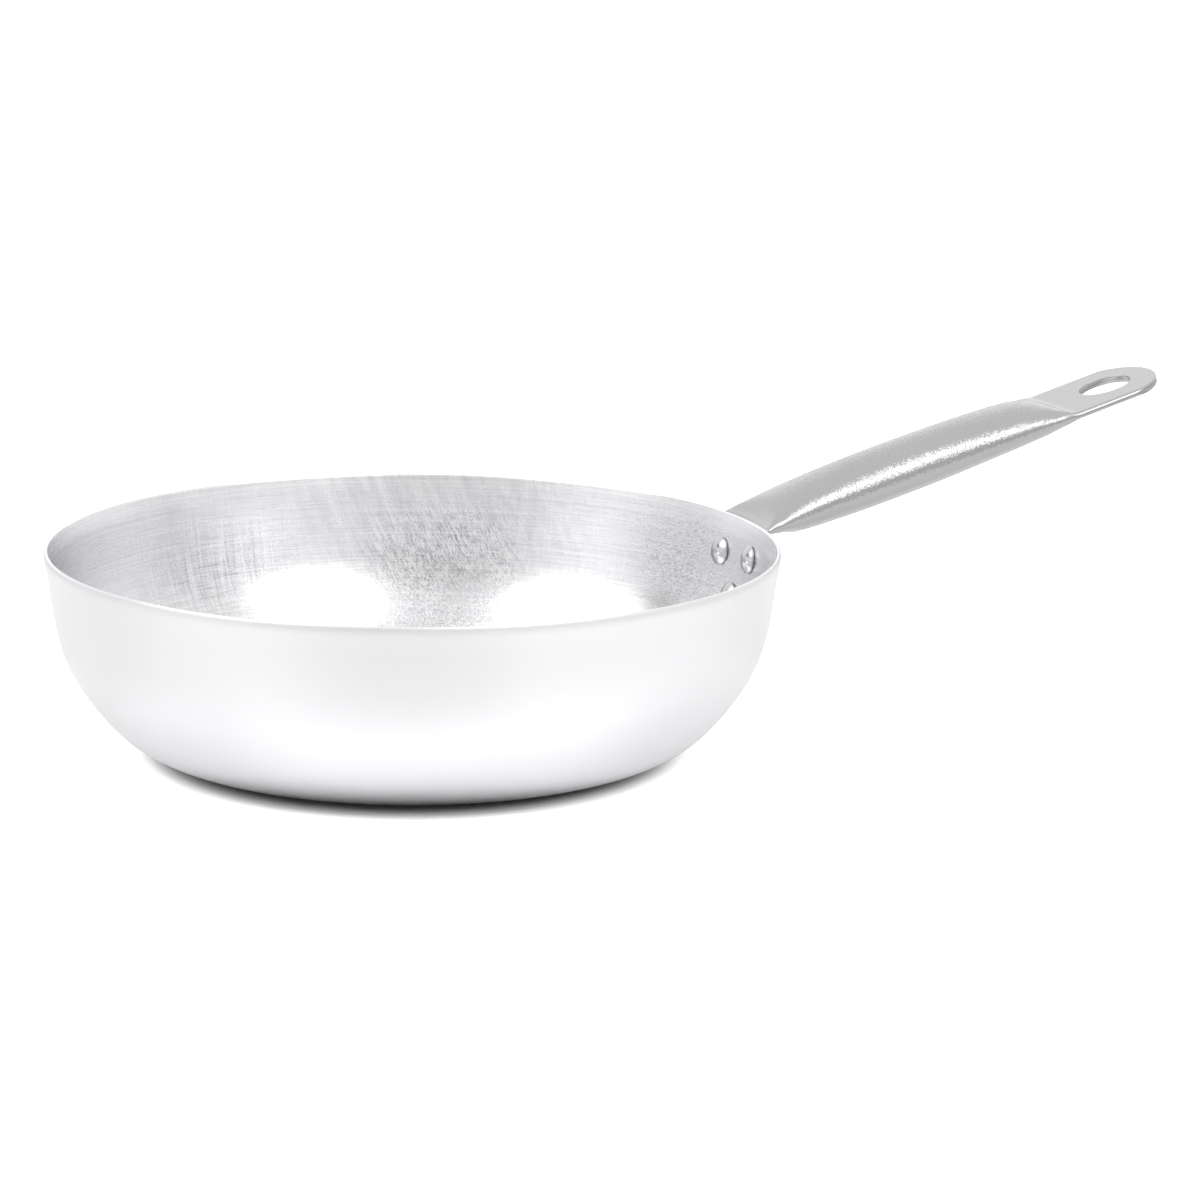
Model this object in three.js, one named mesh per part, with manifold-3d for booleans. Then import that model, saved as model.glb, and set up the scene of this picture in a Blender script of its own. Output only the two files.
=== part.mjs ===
// Deep frying pan, millimetres, +Z up.
// The origin is the middle of the flat underside and the handle points along +X.
// The pan is symmetric about the XZ plane, apart from the riveting scatter of
// 1.6 mm in height between the two upper rivets.
import * as THREE from 'three';
import { mergeVertices } from 'three/addons/utils/BufferGeometryUtils.js';
import Module from 'manifold-3d';

const wasm = await Module();
wasm.setup();

// ---------------------------------------------------------------- bowl
const BASE_THICKNESS = 3.0;
const RIM_THICKNESS = 1.9;
const BOWL_SEGMENTS = 72;
// Outer side of the wall from the rim down to the flat base:
// radius, height, slope of the wall in degrees from the horizontal.
const WALL = [
  [140.00, 76.72, 80.1], [138.73, 68.82, 81.6], [137.35, 58.91, 82.2],
  [136.50, 52.98, 81.1], [135.46, 47.07, 78.6], [134.07, 41.23, 74.3],
  [132.15, 35.55, 68.2], [129.60, 30.12, 61.7], [126.50, 24.99, 56.4],
  [123.03, 20.10, 53.0], [119.92, 16.18, 50.3], [116.62, 12.43, 46.5],
  [113.01, 8.97, 40.7], [109.02, 5.96, 33.2], [104.65, 3.53, 24.9],
  [99.98, 1.77, 16.6], [95.11, 0.67, 9.1], [89.94, 0.13, 3.2],
  [84.17, 0.00, 0.0],
];
const WALL_LENGTH = 106.0;

// ---------------------------------------------------------------- handle
const GAP = 0.3;               // clearance between touching pieces
const HALF_WIDTH = 20.3;       // flattened tube, half its width
const HALF_FLAT = 1.45;        // flattened tube, half its thickness
const SHEET = 1.3;             // tube wall; a 0.3 slit is left between the flats
const ROUND_BELOW = 7.5;       // half height from which the tube is a true oval
const PERIMETER = 4 * (HALF_WIDTH - HALF_FLAT) + 2 * Math.PI * HALF_FLAT;
const BEND_RADIUS = 1.90;      // middle of the tube where the flange turns outwards
const FOLD_FADE = 22;          // the round fold line straightens over this length of tube
const AXIS_REF = 220;          // tube axis: height over distance from the bowl's axis
const AXIS_HEIGHT = 96.64;
const AXIS_SLOPE = 0.2775;
const AXIS_BOW = 0.000107;
const CREASE = 276;            // the hanging plate starts here
const PLATE_TILT = 16.10;      // degrees
const TIP_ALONG = 46.5;        // from the crease to the tip, along the plate
const TIP_RADIUS = 20.5;
const HOLE_ALONG = 25.3;       // from the crease to the middle of the hanging hole
const HOLE_LENGTH = 22.0;
const HOLE_WIDTH = 18.1;
const TAB_BELOW_RIVET = 12.5;  // flange end below the lower rivet
// Distance from the bowl's axis, tube height over and under the tube axis.
const TUBE = [
  [146, 3.40, 3.50], [150, 6.60, 6.70], [156, 8.00, 8.95], [164, 9.00, 9.75],
  [175, 9.88, 10.25], [190, 10.66, 10.55], [210, 10.84, 10.42], [230, 10.47, 9.75],
  [243, 9.84, 9.06], [252, 9.12, 8.60], [259, 8.37, 8.10], [265, 6.96, 7.50],
  [270, 4.90, 6.20], [273, 3.05, 3.95], [CREASE, HALF_FLAT, HALF_FLAT],
];
// The same heights at one third, two thirds and the end of the bend.
const TUBE_BEND = [[1.45, 1.45], [1.45, 1.45], [1.55, 1.60]];

// ---------------------------------------------------------------- rivets
const SHANK_RADIUS = 3.0;
const HEAD_RADIUS = 5.5;
const HEAD_UPRIGHT = 1.1;      // upright edge of the head below its dome
const INNER_DOME = 3.1;
const OUTER_DOME = 2.8;
const UPPER_AZIMUTH = 5.5;     // degrees either side of the handle
const UPPER_LEFT_HEIGHT = 61.2;
const UPPER_RIGHT_HEIGHT = 62.8;
const LOWER_HEIGHT = 45.4;

const RAD = Math.PI / 180;

// ---------------------------------------------------------------- helpers
function solid(geometry) {
  let g = geometry.clone();
  for (const name of Object.keys(g.attributes)) {
    if (name !== 'position') g.deleteAttribute(name);
  }
  g = mergeVertices(g, 1e-4);
  const tris = [];
  const idx = g.index.array;
  for (let i = 0; i < idx.length; i += 3) {
    const [a, b, c] = [idx[i], idx[i + 1], idx[i + 2]];
    if (a !== b && b !== c && c !== a) tris.push(a, b, c);
  }
  const mesh = new wasm.Mesh({
    numProp: 3,
    vertProperties: new Float32Array(g.attributes.position.array),
    triVerts: new Uint32Array(tris),
  });
  return new wasm.Manifold(mesh);
}

function toGeometry(manifold) {
  const m = manifold.getMesh();
  const g = new THREE.BufferGeometry();
  g.setAttribute('position', new THREE.BufferAttribute(new Float32Array(m.vertProperties), 3));
  g.setIndex(new THREE.BufferAttribute(new Uint32Array(m.triVerts), 1));
  g.computeVertexNormals();
  return g;
}

// Monotone cubic through (x, y) pairs.
function monotone(xs, ys) {
  const n = xs.length;
  const h = [], d = [], m = new Array(n).fill(0);
  for (let i = 0; i < n - 1; i++) {
    h.push(xs[i + 1] - xs[i]);
    d.push((ys[i + 1] - ys[i]) / h[i]);
  }
  for (let i = 1; i < n - 1; i++) {
    if (d[i - 1] * d[i] > 0) {
      const w1 = 2 * h[i] + h[i - 1], w2 = h[i] + 2 * h[i - 1];
      m[i] = (w1 + w2) / (w1 / d[i - 1] + w2 / d[i]);
    }
  }
  m[0] = d[0];
  m[n - 1] = d[n - 2];
  return (x) => {
    if (x <= xs[0]) return ys[0];
    if (x >= xs[n - 1]) return ys[n - 1];
    let i = 0;
    while (x > xs[i + 1]) i++;
    const t = (x - xs[i]) / h[i], t2 = t * t, t3 = t2 * t;
    return (2 * t3 - 3 * t2 + 1) * ys[i] + (t3 - 2 * t2 + t) * h[i] * m[i]
      + (-2 * t3 + 3 * t2) * ys[i + 1] + (t3 - t2) * h[i] * m[i + 1];
  };
}

// Wall point at a height: radius, slope angle and outward normal.
function wallAt(z) {
  let i = 0;
  while (i < WALL.length - 2 && WALL[i + 1][1] > z) i++;
  const [r0, z0, a0] = WALL[i], [r1, z1, a1] = WALL[i + 1];
  const t = (z0 - z) / (z0 - z1);
  const angle = (a0 + (a1 - a0) * t) * RAD;
  return { r: r0 + (r1 - r0) * t, z, angle, nr: Math.sin(angle), nz: -Math.cos(angle) };
}

function wallThickness(z) {
  let length = 0;
  for (let i = 0; i < WALL.length - 1; i++) {
    if (WALL[i + 1][1] < z) break;
    length += Math.hypot(WALL[i + 1][0] - WALL[i][0], WALL[i + 1][1] - WALL[i][1]);
  }
  return RIM_THICKNESS + (BASE_THICKNESS - RIM_THICKNESS) * Math.min(1, length / WALL_LENGTH);
}

// Matrix whose Z axis is the given direction and whose X axis stays level.
function aligned(origin, zAxis) {
  const z = zAxis.clone().normalize();
  const x = new THREE.Vector3(0, 0, 1).cross(z).normalize();
  const y = z.clone().cross(x);
  return new THREE.Matrix4().makeBasis(x, y, z).setPosition(origin);
}

// ---------------------------------------------------------------- rivet places
function rivetPlace(azimuth, height) {
  const w = wallAt(height);
  const a = azimuth * RAD;
  return {
    origin: new THREE.Vector3(w.r * Math.cos(a), w.r * Math.sin(a), w.z),
    axis: new THREE.Vector3(w.nr * Math.cos(a), w.nr * Math.sin(a), w.nz),
    wall: wallThickness(height),
  };
}
const RIVETS = {
  rivet_upper_left: rivetPlace(UPPER_AZIMUTH, UPPER_LEFT_HEIGHT),
  rivet_upper_right: rivetPlace(-UPPER_AZIMUTH, UPPER_RIGHT_HEIGHT),
  rivet_lower: rivetPlace(0, LOWER_HEIGHT),
};

function rivetHole(place) {
  const g = new THREE.CylinderGeometry(SHANK_RADIUS + GAP, SHANK_RADIUS + GAP, 24, 20);
  g.rotateX(Math.PI / 2);
  g.applyMatrix4(aligned(place.origin, place.axis));
  return solid(g);
}

// ---------------------------------------------------------------- pan_body
function bowl() {
  const outer = WALL.map(([r, z]) => new THREE.Vector2(r, z));
  const inner = [];
  let length = 0;
  WALL.forEach(([r, z, angle], i) => {
    if (i) length += Math.hypot(r - WALL[i - 1][0], z - WALL[i - 1][1]);
    const t = RIM_THICKNESS + (BASE_THICKNESS - RIM_THICKNESS) * Math.min(1, length / WALL_LENGTH);
    inner.push(new THREE.Vector2(r - t * Math.sin(angle * RAD), z + t * Math.cos(angle * RAD)));
  });
  // Rounded rim between the outer and the inner side.
  const rim = [];
  const top = WALL[0];
  const mid = new THREE.Vector2(
    top[0] - 0.5 * RIM_THICKNESS * Math.sin(top[2] * RAD),
    top[1] - 0.5 * RIM_THICKNESS,
  );
  const lean = top[2] * RAD - Math.PI / 2;
  for (let i = 0; i <= 6; i++) {
    const a = lean + (Math.PI * i) / 6;
    rim.push(new THREE.Vector2(mid.x + 0.5 * RIM_THICKNESS * Math.cos(a), mid.y + 0.5 * RIM_THICKNESS * Math.sin(a)));
  }
  // From the axis along the underside, up the outside, over the rim and back down inside.
  const profile = [
    new THREE.Vector2(0, 0),
    ...outer.slice(1).reverse(),
    ...rim,
    ...inner.slice(1),
    new THREE.Vector2(0, BASE_THICKNESS),
  ];
  let body = solid(new THREE.LatheGeometry(profile, BOWL_SEGMENTS).rotateX(Math.PI / 2));
  for (const place of Object.values(RIVETS)) body = body.subtract(rivetHole(place));
  return toGeometry(body);
}

// ---------------------------------------------------------------- handle sections
function ellipseLength(a, b) {
  const h = ((a - b) / (a + b)) ** 2;
  return Math.PI * (a + b) * (1 + (3 * h) / (10 + Math.sqrt(4 - 3 * h)));
}
function ellipseHalfWidth(b) {
  let lo = b, hi = PERIMETER / 3.9;
  for (let i = 0; i < 60; i++) {
    const m = 0.5 * (lo + hi);
    if (ellipseLength(m, b) < PERIMETER) lo = m; else hi = m;
  }
  return 0.5 * (lo + hi);
}

// Points of a closed outline at the given fractions of its length.
function sample(points, fractions) {
  const run = [0];
  for (let i = 1; i < points.length; i++) {
    run.push(run[i - 1] + Math.hypot(points[i][0] - points[i - 1][0], points[i][1] - points[i - 1][1]));
  }
  const total = run[run.length - 1];
  return fractions.map((f) => {
    const want = f * total;
    let i = 0;
    while (i < run.length - 2 && run[i + 1] < want) i++;
    const t = (want - run[i]) / Math.max(run[i + 1] - run[i], 1e-9);
    return [
      points[i][0] + (points[i + 1][0] - points[i][0]) * t,
      points[i][1] + (points[i + 1][1] - points[i][1]) * t,
    ];
  });
}
function ellipseOutline(a, b) {
  const out = [];
  for (let i = 0; i <= 240; i++) {
    const t = (2 * Math.PI * i) / 240;
    out.push([a * Math.cos(t), b * Math.sin(t)]);
  }
  return out;
}
function stadiumOutline(a, b) {
  const c = a - b;
  const out = [];
  for (let i = 0; i <= 20; i++) out.push([c + b * Math.cos((i * Math.PI) / 40), b * Math.sin((i * Math.PI) / 40)]);
  for (let i = 20; i <= 60; i++) out.push([-c + b * Math.cos((i * Math.PI) / 40), b * Math.sin((i * Math.PI) / 40)]);
  for (let i = 60; i <= 80; i++) out.push([c + b * Math.cos((i * Math.PI) / 40), b * Math.sin((i * Math.PI) / 40)]);
  return out;
}
// One side of the tube at half height b, drawn in by inset.
function halfSection(b, inset, fractions) {
  const k = Math.min(1, Math.max(0, (b - HALF_FLAT) / (ROUND_BELOW - HALF_FLAT)));
  const flat = 1 - k * k * (3 - 2 * k);
  const ha = (PERIMETER - 2 * Math.PI * b) / 4 + b;
  const s = sample(stadiumOutline(ha - inset, b - inset), fractions);
  const e = sample(ellipseOutline(ellipseHalfWidth(b) - inset, b - inset), fractions);
  return s.map((p, i) => [flat * p[0] + (1 - flat) * e[i][0], flat * p[1] + (1 - flat) * e[i][1]]);
}
function section(over, under, inset, fractions) {
  const t = halfSection(over, inset, fractions), u = halfSection(under, inset, fractions);
  return t.map((p, i) => [0.5 * (p[0] + u[i][0]), p[1] >= 0 ? p[1] : u[i][1]]);
}
// Outline fractions: close together round the folded edges, wider over the flats.
function fractionList(foldSteps, flatSteps) {
  const fold = (Math.PI * HALF_FLAT) / PERIMETER / 2;
  const list = [];
  for (let i = 0; i <= foldSteps; i++) list.push((fold * i) / foldSteps);
  for (let i = 1; i <= flatSteps; i++) list.push(fold + ((0.5 - 2 * fold) * i) / flatSteps);
  for (let i = 1; i < foldSteps; i++) list.push(0.5 - fold + (fold * i) / foldSteps);
  const half = [...list];
  return [...half, ...half.map((f) => f + 0.5)];
}

// ---------------------------------------------------------------- handle path
const axisHeight = (x) => AXIS_HEIGHT + AXIS_SLOPE * (x - AXIS_REF) + AXIS_BOW * (x - AXIS_REF) ** 2;
const axisAngle = (x) => Math.atan(AXIS_SLOPE + 2 * AXIS_BOW * (x - AXIS_REF));
const plate = (() => {
  const tilt = PLATE_TILT * RAD;
  return {
    origin: new THREE.Vector3(CREASE, 0, axisHeight(CREASE)),
    along: new THREE.Vector3(Math.cos(tilt), 0, Math.sin(tilt)),
    normal: new THREE.Vector3(-Math.sin(tilt), 0, Math.cos(tilt)),
    tilt,
  };
})();

function path() {
  const at = [];
  const push = (x, z, angle) => at.push({ x, z, angle });
  const tabLine = (z) => {
    const w = wallAt(z);
    return [w.r + (GAP + HALF_FLAT) * w.nr, w.z + (GAP + HALF_FLAT) * w.nz, w.angle];
  };
  for (const z of [30.5, 34, 38, 42, 46, 51, 58]) push(...tabLine(z));
  const straight = tabLine(66);
  push(...straight);
  // Bend between the upper wall line and the start of the tube axis.
  const th = straight[2], ph = axisAngle(146);
  const q = [146, axisHeight(146)];
  const det = -Math.cos(th) * Math.sin(ph) + Math.sin(th) * Math.cos(ph);
  const s = (-(q[0] - straight[0]) * Math.sin(ph) + (q[1] - straight[1]) * Math.cos(ph)) / det;
  const corner = [straight[0] + s * Math.cos(th), straight[1] + s * Math.sin(th)];
  const turn = th - ph;
  const reach = BEND_RADIUS * Math.tan(turn / 2);
  const start = [corner[0] - reach * Math.cos(th), corner[1] - reach * Math.sin(th)];
  const centre = [start[0] + BEND_RADIUS * Math.sin(th), start[1] - BEND_RADIUS * Math.cos(th)];
  const bendFirst = at.length;
  const steps = 8;
  for (let i = 0; i <= steps; i++) {
    const a = th - (turn * i) / steps;
    push(centre[0] - BEND_RADIUS * Math.sin(a), centre[1] + BEND_RADIUS * Math.cos(a), a);
  }
  const bendLast = at.length - 1;
  for (const x of [144.2, 146, 148, 150, 152.5, 156, 161, 168, 177, 188, 201, 214, 227, 238, 247, 254, 259.5, 263.5, 267, 270, 272.5, 274.5]) {
    push(x, axisHeight(x), axisAngle(x));
  }
  const crease = at.length;
  push(CREASE, axisHeight(CREASE), 0.5 * (plate.tilt + axisAngle(CREASE)));
  for (const d of [14, TIP_ALONG + 1.5]) {
    push(CREASE + d * Math.cos(plate.tilt), axisHeight(CREASE) + d * Math.sin(plate.tilt), plate.tilt);
  }
  let run = 0;
  at.forEach((p, i) => {
    if (i) run += Math.hypot(p.x - at[i - 1].x, p.z - at[i - 1].z);
    p.run = run;
  });
  const runAt = (x) => {
    for (let i = bendLast; i < at.length - 1; i++) {
      if (x <= at[i + 1].x) {
        return at[i].run + ((x - at[i].x) / (at[i + 1].x - at[i].x)) * (at[i + 1].run - at[i].run);
      }
    }
    return run;
  };
  const b0 = at[bendFirst].run, b1 = at[bendLast].run;
  const knots = [0, b0 - 3, ...[1, 2, 3].map((i) => b0 + ((b1 - b0) * i) / 3), ...TUBE.map((t) => runAt(t[0]))];
  const over = monotone(knots, [HALF_FLAT, HALF_FLAT, ...TUBE_BEND.map((t) => t[0]), ...TUBE.map((t) => t[1])]);
  const under = monotone(knots, [HALF_FLAT, HALF_FLAT, ...TUBE_BEND.map((t) => t[1]), ...TUBE.map((t) => t[2])]);
  at.forEach((p, i) => {
    p.over = i >= crease ? HALF_FLAT : Math.max(HALF_FLAT, over(p.run));
    p.under = i >= crease ? HALF_FLAT : Math.max(HALF_FLAT, under(p.run));
    // The flange and its fold follow the round wall, which fades out along the tube.
    const ease = (from, length) => {
      const k = Math.min(1, Math.max(0, (p.run - from) / length));
      return k * k * (3 - 2 * k);
    };
    p.wrap = (1 - ease(b1, FOLD_FADE)) / (2 * WALL[0][0]);
    p.toward = Math.PI / 2 + (p.run < b0 ? p.angle : th + ease(b0, b1 - b0) * (Math.PI / 2 + ph - th));
  });
  return at;
}

// Closed skin through rings of points.
function skin(rings) {
  const n = rings[0].length;
  const pos = [];
  const idx = [];
  for (const ring of rings) for (const p of ring) pos.push(p.x, p.y, p.z);
  for (let i = 0; i < rings.length - 1; i++) {
    for (let j = 0; j < n; j++) {
      const a = i * n + j, b = i * n + ((j + 1) % n), c = a + n, d = b + n;
      idx.push(a, b, d, a, d, c);
    }
  }
  for (const [i, flip] of [[0, true], [rings.length - 1, false]]) {
    const mid = rings[i].reduce((s, p) => s.add(p), new THREE.Vector3()).multiplyScalar(1 / n);
    const m = pos.length / 3;
    pos.push(mid.x, mid.y, mid.z);
    for (let j = 0; j < n; j++) {
      const a = i * n + j, b = i * n + ((j + 1) % n);
      if (flip) idx.push(m, b, a); else idx.push(m, a, b);
    }
  }
  const g = new THREE.BufferGeometry();
  g.setAttribute('position', new THREE.BufferAttribute(new Float32Array(pos), 3));
  g.setIndex(idx);
  return g;
}

function sweep(stations, inset, fractions) {
  return skin(stations.map((p) => section(p.over, p.under, inset, fractions).map(([w, y]) => {
    const back = p.wrap * w * w;
    return new THREE.Vector3(
      p.x - y * Math.sin(p.angle) + back * Math.cos(p.toward),
      w,
      p.z + y * Math.cos(p.angle) + back * Math.sin(p.toward),
    );
  })));
}

// Block outside a half-round end, in the plane (u across, v along), cut along the normal.
function endCutter(origin, along, normal, centre) {
  const shape = new THREE.Shape();
  shape.moveTo(TIP_RADIUS, centre);
  for (let i = 1; i <= 28; i++) {
    const a = (Math.PI * i) / 28;
    shape.lineTo(TIP_RADIUS * Math.cos(a), centre + TIP_RADIUS * Math.sin(a));
  }
  shape.lineTo(-32, centre);
  shape.lineTo(-32, centre + 60);
  shape.lineTo(32, centre + 60);
  shape.lineTo(32, centre);
  shape.closePath();
  const g = new THREE.ExtrudeGeometry(shape, { depth: 24, bevelEnabled: false });
  g.translate(0, 0, -12);
  const across = along.clone().cross(normal);
  g.applyMatrix4(new THREE.Matrix4().makeBasis(across, along, normal).setPosition(origin));
  return solid(g);
}

function handle() {
  const stations = path();
  const outside = solid(sweep(stations, 0, fractionList(4, 9)));
  // The hollow runs out past both ends, so the tube stays open.
  const first = stations[0], last = stations[stations.length - 1];
  const lead = (p, d) => ({ ...p, x: p.x + d * Math.cos(p.angle), z: p.z + d * Math.sin(p.angle) });
  const inside = solid(sweep([lead(first, -2), ...stations, lead(last, 2)], SHEET, fractionList(1, 7)));
  let tube = outside.subtract(inside);

  // Half-round ends.
  tube = tube.subtract(endCutter(plate.origin, plate.along, plate.normal, TIP_ALONG - TIP_RADIUS));
  const w = wallAt(LOWER_HEIGHT);
  const tabDown = new THREE.Vector3(-Math.cos(w.angle), 0, -Math.sin(w.angle));
  const tabOut = new THREE.Vector3(w.nr, 0, w.nz);
  const tabMid = new THREE.Vector3(w.r, 0, w.z).addScaledVector(tabOut, GAP + HALF_FLAT);
  tube = tube.subtract(endCutter(tabMid, tabDown, tabOut, TAB_BELOW_RIVET - TIP_RADIUS));

  // Hanging hole.
  const hole = new THREE.CylinderGeometry(1, 1, 16, 36);
  hole.rotateX(Math.PI / 2);
  hole.scale(HOLE_WIDTH / 2, HOLE_LENGTH / 2, 1);
  const across = plate.along.clone().cross(plate.normal);
  hole.applyMatrix4(new THREE.Matrix4().makeBasis(across, plate.along, plate.normal)
    .setPosition(plate.origin.clone().addScaledVector(plate.along, HOLE_ALONG)));
  tube = tube.subtract(solid(hole));

  for (const place of Object.values(RIVETS)) tube = tube.subtract(rivetHole(place));
  return toGeometry(tube);
}

// ---------------------------------------------------------------- rivets
function rivet(place) {
  const sag = HEAD_RADIUS ** 2 / (2 * (WALL[0][0] - RIM_THICKNESS));
  const inner = -place.wall - GAP - sag;            // underside of the head inside the bowl
  const outer = GAP + 2 * HALF_FLAT + GAP;          // underside of the head on the flange
  const dome = (base, height, dir) => {
    const foot = HEAD_RADIUS - 0.15;
    const rise = height - HEAD_UPRIGHT;
    const R = (foot ** 2 + rise ** 2) / (2 * rise);
    const half = Math.asin(foot / R);
    const pts = [
      new THREE.Vector2(HEAD_RADIUS - 0.2, base),
      new THREE.Vector2(HEAD_RADIUS, base + dir * 0.15),
      new THREE.Vector2(HEAD_RADIUS, base + dir * (HEAD_UPRIGHT - 0.2)),
    ];
    for (let i = 0; i <= 4; i++) {
      const a = half * (1 - i / 4);
      const r = i === 4 ? 0 : R * Math.sin(a);
      pts.push(new THREE.Vector2(r, base + dir * (height - R + R * Math.cos(a))));
    }
    return pts;
  };
  const profile = [
    ...dome(inner, INNER_DOME, -1).reverse(),
    new THREE.Vector2(SHANK_RADIUS, inner),
    new THREE.Vector2(SHANK_RADIUS, outer),
    ...dome(outer, OUTER_DOME, 1),
  ];
  const g = new THREE.LatheGeometry(profile, 20);
  g.rotateX(Math.PI / 2);
  g.applyMatrix4(aligned(place.origin, place.axis));
  return toGeometry(solid(g));
}

// ---------------------------------------------------------------- assembly
function piece(name, geometry, material) {
  const mesh = new THREE.Mesh(geometry, new THREE.MeshStandardMaterial(material));
  mesh.name = name;
  return mesh;
}

const pan = new THREE.Group();
pan.name = 'deep_frying_pan';
pan.add(piece('pan_body', bowl(), { color: 0xd9dadc, roughness: 0.45, metalness: 1 }));
pan.add(piece('handle', handle(), { color: 0xc4c5c7, roughness: 0.4, metalness: 1 }));
for (const [name, place] of Object.entries(RIVETS)) {
  pan.add(piece(name, rivet(place), { color: 0xd2d3d5, roughness: 0.2, metalness: 1 }));
}

export default pan;
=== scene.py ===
"""Deep frying pan: refined meshes, finishes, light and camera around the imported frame, in metres."""
import math

import bmesh
import bpy
import numpy as np
from mathutils import Matrix, Vector


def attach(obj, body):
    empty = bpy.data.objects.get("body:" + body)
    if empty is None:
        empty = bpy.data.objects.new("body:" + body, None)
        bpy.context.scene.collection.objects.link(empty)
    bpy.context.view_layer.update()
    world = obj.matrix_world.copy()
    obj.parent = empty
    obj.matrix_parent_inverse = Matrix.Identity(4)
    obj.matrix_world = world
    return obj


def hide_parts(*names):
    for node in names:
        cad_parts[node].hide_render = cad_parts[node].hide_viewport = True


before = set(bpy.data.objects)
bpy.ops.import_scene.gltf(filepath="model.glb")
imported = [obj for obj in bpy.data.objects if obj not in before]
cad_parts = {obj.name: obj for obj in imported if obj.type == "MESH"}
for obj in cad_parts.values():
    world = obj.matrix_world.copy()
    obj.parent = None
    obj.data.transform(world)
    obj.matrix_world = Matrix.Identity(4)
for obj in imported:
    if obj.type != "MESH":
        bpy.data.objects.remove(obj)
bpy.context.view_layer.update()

scene = bpy.context.scene
MM = 0.001
RAD = math.pi / 180

# ------------------------------------------------------------------ sizes, millimetres
BASE_THICKNESS, RIM_THICKNESS, WALL_LENGTH = 3.0, 1.9, 106.0
RIM_CROWN, RIM_TOP = 138.92, 76.72
RIM_OUTER, RIM_INNER = (1.25, 4.0), (0.65, 0.8)  # how far the rim's rounding reaches across and down
# Outer side of the wall from the rim down to the flat base: radius, height, slope in degrees.
WALL = [
    (140.00, 76.72, 80.1), (138.73, 68.82, 81.6), (137.35, 58.91, 82.2), (136.50, 52.98, 81.1),
    (135.46, 47.07, 78.6), (134.07, 41.23, 74.3), (132.15, 35.55, 68.2), (129.60, 30.12, 61.7),
    (126.50, 24.99, 56.4), (123.03, 20.10, 53.0), (119.92, 16.18, 50.3), (116.62, 12.43, 46.5),
    (113.01, 8.97, 40.7), (109.02, 5.96, 33.2), (104.65, 3.53, 24.9), (99.98, 1.77, 16.6),
    (95.11, 0.67, 9.1), (89.94, 0.13, 3.2), (84.17, 0.00, 0.0),
]
GAP, HALF_WIDTH, HALF_FLAT, SHEET, ROUND_BELOW = 0.3, 20.3, 1.45, 1.41, 7.5
PERIMETER = 4 * (HALF_WIDTH - HALF_FLAT) + 2 * math.pi * HALF_FLAT
BEND_RADIUS, FOLD_FADE = 1.90, 22.0
AXIS_REF, AXIS_HEIGHT, AXIS_SLOPE, AXIS_BOW = 220.0, 96.64, 0.2775, 0.000107
CREASE, PLATE_TILT, TIP_ALONG, TIP_RADIUS = 276.0, 16.10 * RAD, 46.5, 20.5
HOLE_ALONG, HOLE_LENGTH, HOLE_WIDTH = 25.3, 22.0, 18.1
TAB_BELOW_RIVET = 12.5
# Distance from the bowl's axis, tube height over and under the tube axis.
TUBE = [
    (146, 3.40, 3.50), (150, 6.60, 6.70), (156, 8.00, 8.95), (164, 9.00, 9.75), (175, 9.88, 10.25), (190, 10.66, 10.55),
    (210, 10.84, 10.42), (230, 10.47, 9.75), (243, 9.84, 9.06), (252, 9.12, 8.60), (259, 8.37, 8.10),
    (265, 6.96, 7.50), (270, 4.90, 6.20), (273, 3.05, 3.95), (CREASE, HALF_FLAT, HALF_FLAT),
]
TUBE_BEND = [(1.45, 1.45), (1.45, 1.45), (1.55, 1.60)]
SHANK_RADIUS, HEAD_RADIUS, HEAD_UPRIGHT, INNER_DOME, OUTER_DOME = 3.0, 5.5, 1.1, 3.1, 2.8
RIVETS = {"upper_left": (5.5, 61.2), "upper_right": (-5.5, 62.8), "lower": (0.0, 45.4)}


# ------------------------------------------------------------------ mesh helpers
def make_object(name, points, faces, slots=None, materials=()):
    me = bpy.data.meshes.new(name)
    me.from_pydata([tuple(float(c) * MM for c in p) for p in points], [], faces)
    for m in materials:
        me.materials.append(m)
    if slots is not None:
        me.polygons.foreach_set("material_index", slots)
    ob = bpy.data.objects.new(name, me)
    scene.collection.objects.link(ob)
    return ob


def tidy(ob, sharp):
    """Faces out, doubles and loose bits removed, smooth except at edges over the given angle."""
    bm = bmesh.new()
    bm.from_mesh(ob.data)
    bmesh.ops.remove_doubles(bm, verts=bm.verts, dist=2e-7)
    bmesh.ops.dissolve_degenerate(bm, edges=bm.edges, dist=1e-8)
    loose = [v for v in bm.verts if not v.link_faces]
    bmesh.ops.delete(bm, geom=loose, context="VERTS")
    bmesh.ops.recalc_face_normals(bm, faces=bm.faces)
    bm.to_mesh(ob.data)
    bm.free()
    ob.data.polygons.foreach_set("use_smooth", [True] * len(ob.data.polygons))
    ob.data.set_sharp_from_angle(angle=sharp * RAD)
    ob.data.update()


def cut(ob, cutter):
    """Takes the cutter's volume out of a piece, and the cutter out of the scene."""
    mod = ob.modifiers.new("cut", "BOOLEAN")
    mod.object, mod.operation, mod.solver = cutter, "DIFFERENCE", "EXACT"
    made = bpy.data.meshes.new_from_object(ob.evaluated_get(bpy.context.evaluated_depsgraph_get()))
    ob.modifiers.clear()
    old, ob.data = ob.data, made
    made.name = ob.name
    bpy.data.meshes.remove(old)
    mesh = cutter.data
    bpy.data.objects.remove(cutter)
    bpy.data.meshes.remove(mesh)


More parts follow.
